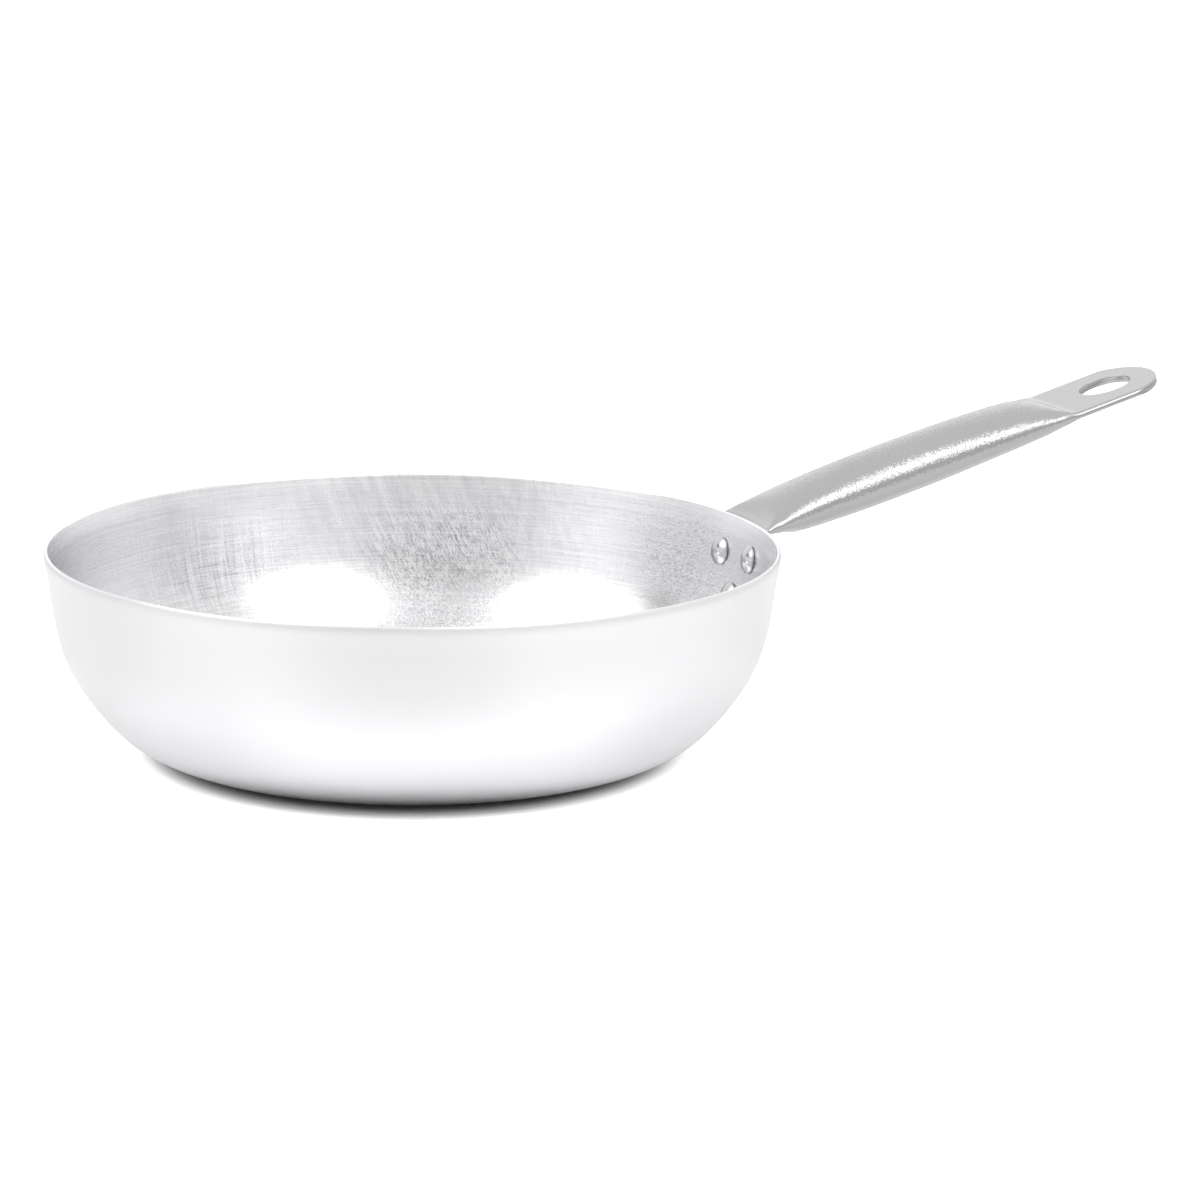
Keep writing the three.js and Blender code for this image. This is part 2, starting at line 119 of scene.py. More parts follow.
def lathe(profile, n):
    """Points and faces of a profile turned round Z; a profile end on the axis becomes a pole."""
    points, rings, faces = [], [], []
    for r, z in profile:
        if r < 1e-9:
            rings.append([len(points)])
            points.append((0.0, 0.0, z))
        else:
            first = len(points)
            rings.append(list(range(first, first + n)))
            points.extend((r * math.cos(2 * math.pi * k / n), r * math.sin(2 * math.pi * k / n), z) for k in range(n))
    spans = []
    for i, (a, b) in enumerate(zip(rings, rings[1:])):
        for k in range(n):
            j = (k + 1) % n
            if len(a) == 1:
                faces.append((a[0], b[j], b[k]))
            elif len(b) == 1:
                faces.append((a[k], a[j], b[0]))
            else:
                faces.append((a[k], a[j], b[j], b[k]))
            spans.append(i)
    return points, faces, spans


def monotone(xs, ys):
    """Monotone cubic through (x, y) pairs."""
    xs, ys = np.asarray(xs, float), np.asarray(ys, float)
    h = np.diff(xs)
    d = np.diff(ys) / h
    m = np.zeros(len(xs))
    for i in range(1, len(xs) - 1):
        if d[i - 1] * d[i] > 0:
            w1, w2 = 2 * h[i] + h[i - 1], h[i] + 2 * h[i - 1]
            m[i] = (w1 + w2) / (w1 / d[i - 1] + w2 / d[i])
    m[0], m[-1] = d[0], d[-1]

    def at(x):
        x = np.clip(np.asarray(x, float), xs[0], xs[-1])
        i = np.clip(np.searchsorted(xs, x) - 1, 0, len(h) - 1)
        t = (x - xs[i]) / h[i]
        t2, t3 = t * t, t * t * t
        return ((2 * t3 - 3 * t2 + 1) * ys[i] + (t3 - 2 * t2 + t) * h[i] * m[i]
                + (-2 * t3 + 3 * t2) * ys[i + 1] + (t3 - t2) * h[i] * m[i + 1])
    return at


def smooth(k):
    k = np.clip(k, 0, 1)
    return k * k * (3 - 2 * k)


# ------------------------------------------------------------------ wall
def wall_at(z):
    i = 0
    while i < len(WALL) - 2 and WALL[i + 1][1] > z:
        i += 1
    (r0, z0, a0), (r1, z1, a1) = WALL[i], WALL[i + 1]
    t = (z0 - z) / (z0 - z1)
    a = (a0 + (a1 - a0) * t) * RAD
    return r0 + (r1 - r0) * t, a


def wall_thickness(z):
    length = 0.0
    for p, q in zip(WALL, WALL[1:]):
        if q[1] < z:
            break
        length += math.hypot(q[0] - p[0], q[1] - p[1])
    return RIM_THICKNESS + (BASE_THICKNESS - RIM_THICKNESS) * min(1, length / WALL_LENGTH)


def bowl_profile():
    """Closed half profile from the axis under the base, up the outside, over the rim and down inside.
    Returns the points and the index of the rim's crown."""
    lean = WALL[0][2] * RAD
    out, up = np.array([math.sin(lean), -math.cos(lean)]), np.array([math.cos(lean), math.sin(lean)])
    crown = np.array([RIM_CROWN, RIM_TOP - 0.008])
    start = crown - RIM_OUTER[1] * up + RIM_OUTER[0] * out
    knots = [(*start, WALL[0][2] - 0.8), *WALL[1:]]
    line = []
    for (r0, z0, a0), (r1, z1, a1) in zip(knots, knots[1:]):
        p0, p1 = np.array([r0, z0]), np.array([r1, z1])
        size = np.linalg.norm(p1 - p0)
        t0 = -np.array([math.cos(a0 * RAD), math.sin(a0 * RAD)]) * size
        t1 = -np.array([math.cos(a1 * RAD), math.sin(a1 * RAD)]) * size
        steps = max(3, round(size / 1.1))
        for k in range(steps):
            t = k / steps
            p = ((2 * t**3 - 3 * t**2 + 1) * p0 + (t**3 - 2 * t**2 + t) * t0
                 + (-2 * t**3 + 3 * t**2) * p1 + (t**3 - t**2) * t1)
            v = ((6 * t**2 - 6 * t) * p0 + (3 * t**2 - 4 * t + 1) * t0
                 + (-6 * t**2 + 6 * t) * p1 + (3 * t**2 - 2 * t) * t1)
            line.append((p[0], p[1], math.atan2(-v[1], -v[0])))
    line.append((*WALL[-1][:2], 0.0))
    outer, inner, run = [], [], 0.0
    for i, (r, z, a) in enumerate(line):
        if i:
            run += math.hypot(r - line[i - 1][0], z - line[i - 1][1])
        t = RIM_THICKNESS + (BASE_THICKNESS - RIM_THICKNESS) * min(1, run / WALL_LENGTH)
        outer.append((r, z))
        inner.append((r - t * math.sin(a), z + t * math.cos(a)))
    # Rim: long easing on the outer side, small radius on the inner side.
    rim = []
    for (wide, tall), steps in ((RIM_OUTER, range(13)), (RIM_INNER, range(13, 21))):
        for k in steps:
            f = 0.5 * math.pi * (k / 12 if k <= 12 else 1 + (k - 12) / 8)
            rim.append(tuple(crown + tall * (math.sin(f) - 1) * up + wide * math.cos(f) * out))
    floor = [84.17 * k / 14 for k in range(1, 14)]
    under = [(0.0, 0.0)] + [(r, 0.0) for r in floor] + outer[1:][::-1]
    over = [p for p in inner[1:] if p[1] < rim[-1][1] - 0.3]
    over += [(r, BASE_THICKNESS) for r in floor[::-1]] + [(0.0, BASE_THICKNESS)]
    return under + rim + over, len(under) + 12


def rivet_matrix(azimuth, height):
    """Place of a rivet: Z along the outward wall normal, origin on the outer side of the wall."""
    r, a = wall_at(height)
    t = azimuth * RAD
    z = Vector((math.sin(a) * math.cos(t), math.sin(a) * math.sin(t), -math.cos(a)))
    x = Vector((0, 0, 1)).cross(z).normalized()
    y = z.cross(x)
    at = Vector((r * math.cos(t), r * math.sin(t), height))
    return Matrix(((x.x, y.x, z.x, at.x), (x.y, y.y, z.y, at.y), (x.z, y.z, z.z, at.z), (0, 0, 0, 1)))


def rivet_holes():
    points, faces = [], []
    n, radius = 48, SHANK_RADIUS + GAP
    for place in RIVETS.values():
        m = rivet_matrix(*place)
        first = len(points)
        for z in (-12, 12):
            points.extend(m @ Vector((radius * math.cos(2 * math.pi * k / n), radius * math.sin(2 * math.pi * k / n), z))
                          for k in range(n))
        faces.extend((first + k, first + (k + 1) % n, first + n + (k + 1) % n, first + n + k) for k in range(n))
        faces.append(tuple(first + k for k in reversed(range(n))))
        faces.append(tuple(first + n + k for k in range(n)))
    return make_object("holes", points, faces)


# ------------------------------------------------------------------ handle
def ellipse_half_width(b):
    lo, hi = b, PERIMETER / 3.9
    for _ in range(60):
        a = 0.5 * (lo + hi)
        h = ((a - b) / (a + b)) ** 2
        if math.pi * (a + b) * (1 + 3 * h / (10 + math.sqrt(4 - 3 * h))) < PERIMETER:
            lo = a
        else:
            hi = a
    return 0.5 * (lo + hi)


def spread(x, y, fractions):
    run = np.concatenate([[0], np.cumsum(np.hypot(np.diff(x), np.diff(y)))])
    want = fractions * run[-1]
    return np.interp(want, run, x), np.interp(want, run, y)


TURN = np.linspace(0, 2 * math.pi, 961)
ARC = TURN[(TURN <= 0.5 * math.pi + 1e-9)]


def half_section(b, inset, fractions):
    flat = 1 - smooth((b - HALF_FLAT) / (ROUND_BELOW - HALF_FLAT))
    wide, tall = (PERIMETER - 2 * math.pi * b) / 4 + b - inset, b - inset
    q = np.concatenate([ARC, ARC + 0.5 * math.pi, ARC + math.pi, ARC + 1.5 * math.pi])
    c = (wide - tall) * np.repeat([1, -1, -1, 1], len(ARC))
    sx, sy = spread(c + tall * np.cos(q), tall * np.sin(q), fractions)
    ex, ey = spread((ellipse_half_width(b) - inset) * np.cos(TURN), tall * np.sin(TURN), fractions)
    return flat * sx + (1 - flat) * ex, flat * sy + (1 - flat) * ey


def section(over, under, inset, fractions):
    tx, ty = half_section(over, inset, fractions)
    ux, uy = half_section(under, inset, fractions)
    return 0.5 * (tx + ux), np.where(ty >= 0, ty, uy)


def fraction_list(fold_steps, flat_steps):
    fold = math.pi * HALF_FLAT / PERIMETER / 2
    half = ([fold * i / fold_steps for i in range(fold_steps + 1)]
            + [fold + (0.5 - 2 * fold) * i / flat_steps for i in range(1, flat_steps + 1)]
            + [0.5 - fold + fold * i / fold_steps for i in range(1, fold_steps)])
    return np.array(half + [f + 0.5 for f in half])


def axis_height(x):
    return AXIS_HEIGHT + AXIS_SLOPE * (x - AXIS_REF) + AXIS_BOW * (x - AXIS_REF) ** 2


def axis_angle(x):
    return np.arctan(AXIS_SLOPE + 2 * AXIS_BOW * (x - AXIS_REF))


class HandlePath:
    """Middle line of the flattened tube, by length along it: flange, bend, tube and hanging plate."""

    def __init__(self):
        at = []
        off = GAP + HALF_FLAT
        for z in np.arange(26.0, 66.01, 0.25):
            r, a = wall_at(z)
            at.append((r + off * math.sin(a), z - off * math.cos(a), a))
        x0, z0, th = at[-1]
        ph = float(axis_angle(146.0))
        qx, qz = 146.0, axis_height(146.0)
        det = -math.cos(th) * math.sin(ph) + math.sin(th) * math.cos(ph)
        s = (-(qx - x0) * math.sin(ph) + (qz - z0) * math.cos(ph)) / det
        corner = (x0 + s * math.cos(th), z0 + s * math.sin(th))
        self.flange, self.tube = th, ph
        reach = BEND_RADIUS * math.tan((th - ph) / 2)
        bx, bz = corner[0] - reach * math.cos(th), corner[1] - reach * math.sin(th)
        cx, cz = bx + BEND_RADIUS * math.sin(th), bz - BEND_RADIUS * math.cos(th)
        bend_first = len(at)
        for k in range(81):
            a = th - (th - ph) * k / 80
            at.append((cx - BEND_RADIUS * math.sin(a), cz + BEND_RADIUS * math.cos(a), a))
        bend_last = len(at) - 1
        for x in np.arange(math.ceil(at[-1][0] + 0.3), CREASE + 0.01, 0.5):
            at.append((float(x), float(axis_height(x)), float(axis_angle(x))))
        crease = len(at) - 1
        for d in np.arange(0.5, TIP_ALONG + 4, 0.5):
            at.append((CREASE + d * math.cos(PLATE_TILT), axis_height(CREASE) + d * math.sin(PLATE_TILT), PLATE_TILT))
        p = np.array(at)
        self.x, self.z, self.a = p.T
        self.run = np.concatenate([[0], np.cumsum(np.hypot(np.diff(self.x), np.diff(self.z)))])
        self.bend0, self.bend1, self.crease = self.run[bend_first], self.run[bend_last], self.run[crease]
        ease = np.hanning(15)[1:-1] / np.hanning(15).sum()
        near = slice(crease - 12, crease + 13)
        for line in (self.x, self.z, self.a):
            line[near] = np.convolve(np.pad(line, 6, mode="edge"), ease, "valid")[near]
        self.lower_rivet = float(np.interp(RIVETS["lower"][1], self.z[:bend_first] + off * np.cos(self.a[:bend_first]),
                                           self.run[:bend_first]))
        tube = np.array(TUBE)
        knots = ([0, self.bend0 - 3] + [self.bend0 + (self.bend1 - self.bend0) * i / 3 for i in (1, 2, 3)]
                 + list(np.interp(tube[:, 0], self.x[bend_last:], self.run[bend_last:])))
        self._over = monotone(knots, [HALF_FLAT] * 2 + [t[0] for t in TUBE_BEND] + list(tube[:, 1]))
        self._under = monotone(knots, [HALF_FLAT] * 2 + [t[1] for t in TUBE_BEND] + list(tube[:, 2]))

    def heights(self, s):
        """Tube height over and under the line, with the crease eased over a few millimetres."""
        spread_mm, weights = np.linspace(-3.2, 3.2, 33), np.hanning(35)[1:-1]
        k = s + spread_mm * smooth((8.0 - abs(s - self.crease)) / 3.0)
        over = np.where(k >= self.crease, HALF_FLAT, np.maximum(HALF_FLAT, self._over(k)))
        under = np.where(k >= self.crease, HALF_FLAT, np.maximum(HALF_FLAT, self._under(k)))
        return float(np.average(over, weights=weights)), float(np.average(under, weights=weights))

    def place(self, s, w, y):
        """Points at lengths s, w across and y off the line. The flange and its fold hug the round wall."""
        a = np.interp(s, self.run, self.a)
        fold = smooth((s - self.bend0) / (self.bend1 - self.bend0))
        back = (1 - smooth((s - self.bend1) / FOLD_FADE)) * w * w / (2 * WALL[0][0])
        turn = 0.5 * math.pi + np.where(s < self.bend0, a, self.flange + fold * (0.5 * math.pi + self.tube - self.flange))
        return np.stack([np.interp(s, self.run, self.x) - y * np.sin(a) + back * np.cos(turn), w + 0 * s,
                         np.interp(s, self.run, self.z) + y * np.cos(a) + back * np.sin(turn)], axis=1)


def handle_mesh():
    path = HandlePath()
    fractions = fraction_list(8, 30)
    bevel, inner_bevel = 0.28, 0.12
    mid0, mid1 = path.bend0 - 6.0, path.crease
    mids = np.concatenate([
        np.linspace(mid0, path.bend0, 7)[:-1],
        np.linspace(path.bend0, path.bend1, 25)[:-1],
        np.linspace(path.bend1, mid1 - 10, 118)[:-1],
        np.linspace(mid1 - 10, mid1 - 4.5, 13)[:-1],
        np.linspace(mid1 - 4.5, mid1 + 3.6, 30),
    ])
    tab_steps, plate_steps = 30, 44

    def ends(w):
        root = np.sqrt(np.maximum(TIP_RADIUS**2 - w * w, 0))
        return (path.lower_rivet - (TAB_BELOW_RIVET - TIP_RADIUS + root),
                path.crease + TIP_ALONG - TIP_RADIUS + root)

    def skin(inset, short):
        w, y = section(HALF_FLAT, HALF_FLAT, inset, fractions)
        low, high = ends(w)
        low, high = low + short, high - short
        rings = [path.place(low + (mids[0] - low) * t, w, y) for t in np.linspace(0, 1, tab_steps + 1)[:-1]]
        for s in mids:
            rings.append(path.place(np.full_like(w, s), *section(*path.heights(s), inset, fractions)))
        rings += [path.place(mids[-1] + (high - mids[-1]) * t, w, y) for t in np.linspace(0, 1, plate_steps + 1)[1:]]
        return rings

    def lip(which):
        """Rings over the cut edge at one end, from the outer to the inner skin."""
        sign = 1 if which else -1
        rings = []
        for inset, back in ([(bevel * (1 - math.cos(k * math.pi / 8)), bevel * (1 - math.sin(k * math.pi / 8))) for k in range(1, 5)]
                            + [(0.5 * SHEET, 0.0), (SHEET - inner_bevel, 0.0)]):
            w, y = section(HALF_FLAT, HALF_FLAT, inset, fractions)
            rings.append(path.place(ends(w)[which] - sign * back, w, y))
        return rings

    rings = skin(0.0, bevel) + lip(1) + skin(SHEET, inner_bevel)[::-1] + lip(0)[::-1]
    n = len(fractions)
    points = np.concatenate(rings)
    faces = []
    for i in range(len(rings)):
        a, b = i * n, ((i + 1) % len(rings)) * n
        faces.extend((a + j, a + (j + 1) % n, b + (j + 1) % n, b + j) for j in range(n))
    return points, faces


def hanging_hole():
    """Oval cutter whose flared ends round off the two edges of the hole."""
    n, edge = 120, 0.22
    along = Vector((math.cos(PLATE_TILT), 0, math.sin(PLATE_TILT)))
    normal = Vector((-math.sin(PLATE_TILT), 0, math.cos(PLATE_TILT)))
    at = Vector((CREASE, 0, axis_height(CREASE))) + along * HOLE_ALONG
    half = [(0.0, 0.0)]
    for k in range(0, 6):
        f = 78 * RAD * k / 5
        half.append((HALF_FLAT - edge + edge * math.sin(f), edge * (1 - math.cos(f))))
    y, e = half[-1]
    half.append((y + 2 * edge * math.cos(78 * RAD), e + 2 * edge * math.sin(78 * RAD)))
    half.append((9.0, half[-1][1]))
    rows = [(-y, e) for y, e in half[:0:-1]] + half
    points, faces = [], []
    for y, e in rows:
        for k in range(n):
            t = 2 * math.pi * k / n
            points.append(at + along * (0.5 * HOLE_LENGTH + e) * math.sin(t)
                          + Vector((0, 1, 0)) * (0.5 * HOLE_WIDTH + e) * math.cos(t) + normal * y)
    for i in range(len(rows) - 1):
        faces.extend((i * n + k, i * n + (k + 1) % n, (i + 1) * n + (k + 1) % n, (i + 1) * n + k) for k in range(n))
    faces.append(tuple(reversed(range(n))))
    faces.append(tuple((len(rows) - 1) * n + k for k in range(n)))
    ob = make_object("hole", points, faces)
    bm = bmesh.new()
    bm.from_mesh(ob.data)
    bmesh.ops.recalc_face_normals(bm, faces=bm.faces)
    bm.to_mesh(ob.data)
    bm.free()
    return ob


# ------------------------------------------------------------------ rivets
def rivet_profile(height):
    """Half profile along the rivet: dome inside the bowl, shank, dome on the flange."""
    sag = HEAD_RADIUS**2 / (2 * (WALL[0][0] - RIM_THICKNESS))
    inner = -wall_thickness(height) - 0.06 - sag
    outer = GAP + 2 * HALF_FLAT + 0.06

    def head(base, dome, sign):
        """Upright edge with rounded corners, then a shallow dome."""
        edge, corner, tall = 0.15, 0.32, HEAD_UPRIGHT
        foot, rise = HEAD_RADIUS - 0.45 * corner, dome - tall
        big = (foot**2 + rise**2) / (2 * rise)
        # Corner circle touches the upright and the dome.
        cr = HEAD_RADIUS - corner
        f0 = math.asin(cr / (big - corner))
        cz = (big - corner) * math.cos(f0) + dome - big
        pts = [(SHANK_RADIUS + 0.15, 0.0), (HEAD_RADIUS - 0.9, 0.0)]
        pts += [(HEAD_RADIUS - edge + edge * math.sin(f), edge * (1 - math.cos(f))) for f in np.linspace(0, math.pi / 2, 4)]
        pts += [(cr + corner * math.cos(f), cz + corner * math.sin(f)) for f in np.linspace(0, math.pi / 2 - f0, 7)]
        pts += [(big * math.sin(f) if f > 1e-6 else 0.0, big * math.cos(f) + dome - big) for f in np.linspace(f0, 0, 22)[1:]]
        return [(r, base + sign * z) for r, z in pts]

    return head(inner, INNER_DOME, -1)[::-1] + [(SHANK_RADIUS, inner + 0.15), (SHANK_RADIUS, outer - 0.15)] + head(outer, OUTER_DOME, 1)


# ------------------------------------------------------------------ node helpers
def node(tree, kind, inputs=None, **props):
    n = tree.nodes.new(kind)
    for key, value in props.items():
        setattr(n, key, value)
    for key, value in (inputs or {}).items():
        if isinstance(value, bpy.types.NodeSocket):
            tree.links.new(value, n.inputs[key])
        else:
            n.inputs[key].default_value = value
    return n


def calc(tree, op, a, b=0.0, c=0.0):
    return node(tree, "ShaderNodeMath", {0: a, 1: b, 2: c}, operation=op).outputs[0]


def ramp(tree, value, low, high, to_low=0.0, to_high=1.0, kind="SMOOTHSTEP"):
    return node(tree, "ShaderNodeMapRange", {"Value": value, "From Min": low, "From Max": high,
                                             "To Min": to_low, "To Max": to_high},
                interpolation_type=kind, clamp=True).outputs["Result"]


def noise(tree, vector, scale, detail=2.0, rough=0.5, distortion=0.0):
    return node(tree, "ShaderNodeTexNoise", {"Vector": vector, "Scale": scale, "Detail": detail,
                                             "Roughness": rough, "Distortion": distortion}).outputs[0]


def vector(tree, x, y, z):
    return node(tree, "ShaderNodeCombineXYZ", {0: x, 1: y, 2: z}).outputs[0]


def grey(tree, value, tint=(0.0, 0.0, 0.0)):
    """Neutral colour from a brightness, with a small constant tint."""
    parts = [calc(tree, "ADD", value, t) for t in tint]
    return node(tree, "ShaderNodeCombineColor", {0: parts[0], 1: parts[1], 2: parts[2]}).outputs[0]


def new_material(name):
    mat = bpy.data.materials.new(name)
    mat.use_nodes = True
    tree = mat.node_tree
    return mat, tree, tree.nodes["Principled BSDF"]


def turned(tree):
    """Coordinates of a turned piece: place, angle as a point on a unit circle, length along the profile."""
    place = node(tree, "ShaderNodeTexCoord").outputs["Object"]
    x, y, z = node(tree, "ShaderNodeSeparateXYZ", {0: place}).outputs
    radius = calc(tree, "SQRT", calc(tree, "ADD", calc(tree, "MULTIPLY", x, x), calc(tree, "MULTIPLY", y, y)))
    safe = calc(tree, "MAXIMUM", radius, 1e-5)
    return place, calc(tree, "DIVIDE", x, safe), calc(tree, "DIVIDE", y, safe), calc(tree, "ADD", radius, z), z, radius


def around(tree, cos, sin, along, reach, pitch):
    """Noise coordinates with features of the given length round the axis and width along the profile, in metres."""
    k = 0.13 / reach
    return vector(tree, calc(tree, "MULTIPLY", cos, k), calc(tree, "MULTIPLY", sin, k), calc(tree, "MULTIPLY", along, 1 / pitch))


# ------------------------------------------------------------------ materials
def outside_finish():
    """Satin aluminium with very faint turning lines."""
    mat, tree, bsdf = new_material("bowl_outside_satin")
    place, cos, sin, along, z, radius = turned(tree)
    fine = noise(tree, around(tree, cos, sin, along, 0.040, 0.0006), 1.0, 2.0)
    broad = noise(tree, around(tree, cos, sin, along, 0.120, 0.012), 1.0, 2.0)
    cloud = noise(tree, place, 22.0, 3.0)
    grain = noise(tree, place, 2600.0, 1.0)
    shade = calc(tree, "ADD", calc(tree, "MULTIPLY", calc(tree, "SUBTRACT", cloud, 0.5), 0.02),
                 calc(tree, "MULTIPLY", calc(tree, "SUBTRACT", broad, 0.5), 0.015))
    tree.links.new(grey(tree, calc(tree, "ADD", shade, 0.90), (0.002, 0.0, 0.013)), bsdf.inputs["Base Color"])
    rough = calc(tree, "ADD", calc(tree, "MULTIPLY", fine, 0.03), calc(tree, "MULTIPLY", cloud, 0.06))
    tree.links.new(calc(tree, "ADD", rough, 0.34), bsdf.inputs["Roughness"])
    height = calc(tree, "ADD", calc(tree, "MULTIPLY", fine, 0.6), calc(tree, "MULTIPLY", grain, 0.4))
    bump = node(tree, "ShaderNodeBump", {"Strength": 0.25, "Distance": 0.00001, "Height": height})
    tree.links.new(bump.outputs[0], bsdf.inputs["Normal"])
    tangent = node(tree, "ShaderNodeTangent", direction_type="RADIAL", axis="Z")
    tree.links.new(tangent.outputs[0], bsdf.inputs["Tangent"])
    bsdf.inputs["Metallic"].default_value = 1.0
    bsdf.inputs["Anisotropic"].default_value = 0.35
    bsdf.inputs["Anisotropic Rotation"].default_value = 0.25
    return mat


def blend(tree, *pairs):
    """Weighted sum of noises, each taken about its middle."""
    total = 0.0
    for weight, value in pairs:
        total = calc(tree, "ADD", total, calc(tree, "MULTIPLY", calc(tree, "SUBTRACT", value, 0.5), weight))
    return total


def window(tree, value, low, high, soft):
    return calc(tree, "MULTIPLY", ramp(tree, value, low - soft, low + soft), ramp(tree, value, high + soft, high - soft))


def inside_finish():
    """Aluminium brushed in circles. Low on the wall it is rubbed: woven cross marks on one side, grain and slanting
    scratches in the middle, short dashes on the other side. Towards the far left and right of the wall, as the viewer
    sees it, the colour is painted lighter, standing in for light."""
    mat, tree, bsdf = new_material("bowl_inside_brushed")
    place, cos, sin, along, z, radius = turned(tree)
    across = node(tree, "ShaderNodeVectorMath", {0: place, 1: tuple(TURN_TO_PAN @ Vector((1, 0, 0)))},
                  operation="DOT_PRODUCT").outputs["Value"]
    fine = noise(tree, around(tree, cos, sin, along, 0.012, 0.0008), 1.0, 2.0, 0.6)
    lines = noise(tree, around(tree, cos, sin, along, 0.160, 0.0010), 1.0, 3.0, 0.6)
    upright = noise(tree, around(tree, cos, sin, along, 0.0008, 0.030), 1.0, 2.0, 0.5)
    weft = noise(tree, around(tree, cos, sin, along, 0.010, 0.0008), 1.0, 2.0, 0.5)
    dash = noise(tree, around(tree, cos, sin, along, 0.0022, 0.0007), 1.0, 2.0, 0.5)
    turn = (TURN_TO_PAN.to_4x4() @ Matrix.Rotation(-24 * RAD, 4, "Y")).to_euler()
    scratch, streak = [noise(tree, node(tree, "ShaderNodeMapping", {"Vector": place, "Rotation": tuple(turn), "Scale": (wide, wide, tall)},
                                        vector_type="TEXTURE").outputs[0], 1.0, 2.0, 0.55) for wide, tall in ((0.0008, 0.0180), (0.0030, 0.0600))]
    grain = noise(tree, place, 2000.0, 2.0, 0.6)
    cloud = noise(tree, place, 30.0, 3.0, 0.6)
    patchy = ramp(tree, cloud, 0.36, 0.60)
    left = calc(tree, "MULTIPLY", window(tree, across, -0.106, -0.066, 0.017), ramp(tree, z, 0.070, 0.042))
    middle = calc(tree, "MULTIPLY", window(tree, across, -0.023, 0.033, 0.017), ramp(tree, z, 0.073, 0.050))
    right = calc(tree, "MULTIPLY", window(tree, across, 0.092, 0.121, 0.014), ramp(tree, z, 0.077, 0.060))
    slanted = window(tree, across, -0.050, 0.060, 0.030)
    away = node(tree, "ShaderNodeVectorMath", {0: place, 1: tuple(TURN_TO_PAN @ Vector((0, 1, 0)))}, operation="DOT_PRODUCT").outputs["Value"]
    worn = calc(tree, "ADD", calc(tree, "MULTIPLY", patchy, 0.4), calc(tree, "ADD", ramp(tree, z, 0.026, 0.048, -0.42, 0.0), 0.6))
    worn = calc(tree, "MULTIPLY", worn, ramp(tree, away, -0.03, 0.03, 0.25, 1.0))
    marks = blend(tree, (0.22, fine), (0.34, lines), (0.26, grain), (0.12, upright))
    for mask, parts in ((left, ((0.95, upright), (0.85, weft), (0.7, grain))), (middle, ((1.7, scratch), (1.3, grain), (0.5, weft))),
                        (right, ((1.3, dash), (1.7, grain))), (slanted, ((0.50, streak),))):
        marks = calc(tree, "ADD", marks, calc(tree, "MULTIPLY", blend(tree, *parts), calc(tree, "MULTIPLY", mask, worn)))
    # The rubbed patches are duller; towards the far left and right of the wall, as the viewer sees it, the colour is
    # painted lighter, standing in for light.
    dull_wear_and_painted_light = calc(tree, "ADD", calc(tree, "MULTIPLY", middle, -0.075), calc(tree, "MULTIPLY", left, -0.07))
    dull_wear_and_painted_light = calc(tree, "ADD", dull_wear_and_painted_light, calc(tree, "ADD", ramp(tree, across, -0.108, -0.124, 0.0, 0.07), ramp(tree, across, 0.110, 0.124, 0.0, 0.12)))
    tone = calc(tree, "ADD", calc(tree, "MULTIPLY", marks, 0.85), calc(tree, "ADD", dull_wear_and_painted_light, blend(tree, (0.05, cloud))))
    shade = calc(tree, "MAXIMUM", calc(tree, "ADD", tone, 0.86), 0.30)
    tree.links.new(grey(tree, calc(tree, "MINIMUM", shade, 0.98), (0.002, 0.0, 0.016)), bsdf.inputs["Base Color"])
    tree.links.new(calc(tree, "ADD", calc(tree, "MULTIPLY", marks, 0.05), 0.27), bsdf.inputs["Roughness"])
    bump = node(tree, "ShaderNodeBump", {"Strength": 1.0, "Distance": 0.00003, "Height": marks})
    tree.links.new(bump.outputs[0], bsdf.inputs["Normal"])
    tangent = node(tree, "ShaderNodeTangent", direction_type="RADIAL", axis="Z")
    tree.links.new(tangent.outputs[0], bsdf.inputs["Tangent"])
    bsdf.inputs["Metallic"].default_value = 1.0
    bsdf.inputs["Anisotropic"].default_value = 0.55
    bsdf.inputs["Anisotropic Rotation"].default_value = 0.25
    return mat


def handle_finish():
    """Bead-blasted stainless steel: small dimples that make the highlights sparkle."""
    mat, tree, bsdf = new_material("handle_blasted_steel")
    place = node(tree, "ShaderNodeTexCoord").outputs["Object"]
    grain = noise(tree, place, 1150.0, 2.0, 0.6)
    cloud = noise(tree, place, 30.0, 3.0, 0.5)
    tone = blend(tree, (0.06, grain), (0.03, cloud))
    tree.links.new(grey(tree, calc(tree, "ADD", tone, 0.49), (0.002, 0.0, 0.010)), bsdf.inputs["Base Color"])
    tree.links.new(calc(tree, "ADD", calc(tree, "MULTIPLY", cloud, 0.05), 0.15), bsdf.inputs["Roughness"])
    facet = node(tree, "ShaderNodeTexVoronoi", {"Vector": place, "Scale": 2800.0}).outputs["Color"]
    lean = node(tree, "ShaderNodeVectorMath", {0: facet, 1: (0.5, 0.5, 0.5)}, operation="SUBTRACT").outputs[0]
    normal = node(tree, "ShaderNodeNewGeometry").outputs["Normal"]
    along = node(tree, "ShaderNodeSeparateXYZ", {0: place}).outputs[0]
    much = calc(tree, "ADD", calc(tree, "MULTIPLY", window(tree, along, 0.152, 0.270, 0.010), 0.21), 0.05)
    leant = node(tree, "ShaderNodeVectorMath", {0: lean, 1: vector(tree, much, much, much), 2: normal}, operation="MULTIPLY_ADD").outputs[0]
    tree.links.new(node(tree, "ShaderNodeVectorMath", {0: leant}, operation="NORMALIZE").outputs[0], bsdf.inputs["Normal"])
    bsdf.inputs["Metallic"].default_value = 1.0
    return mat


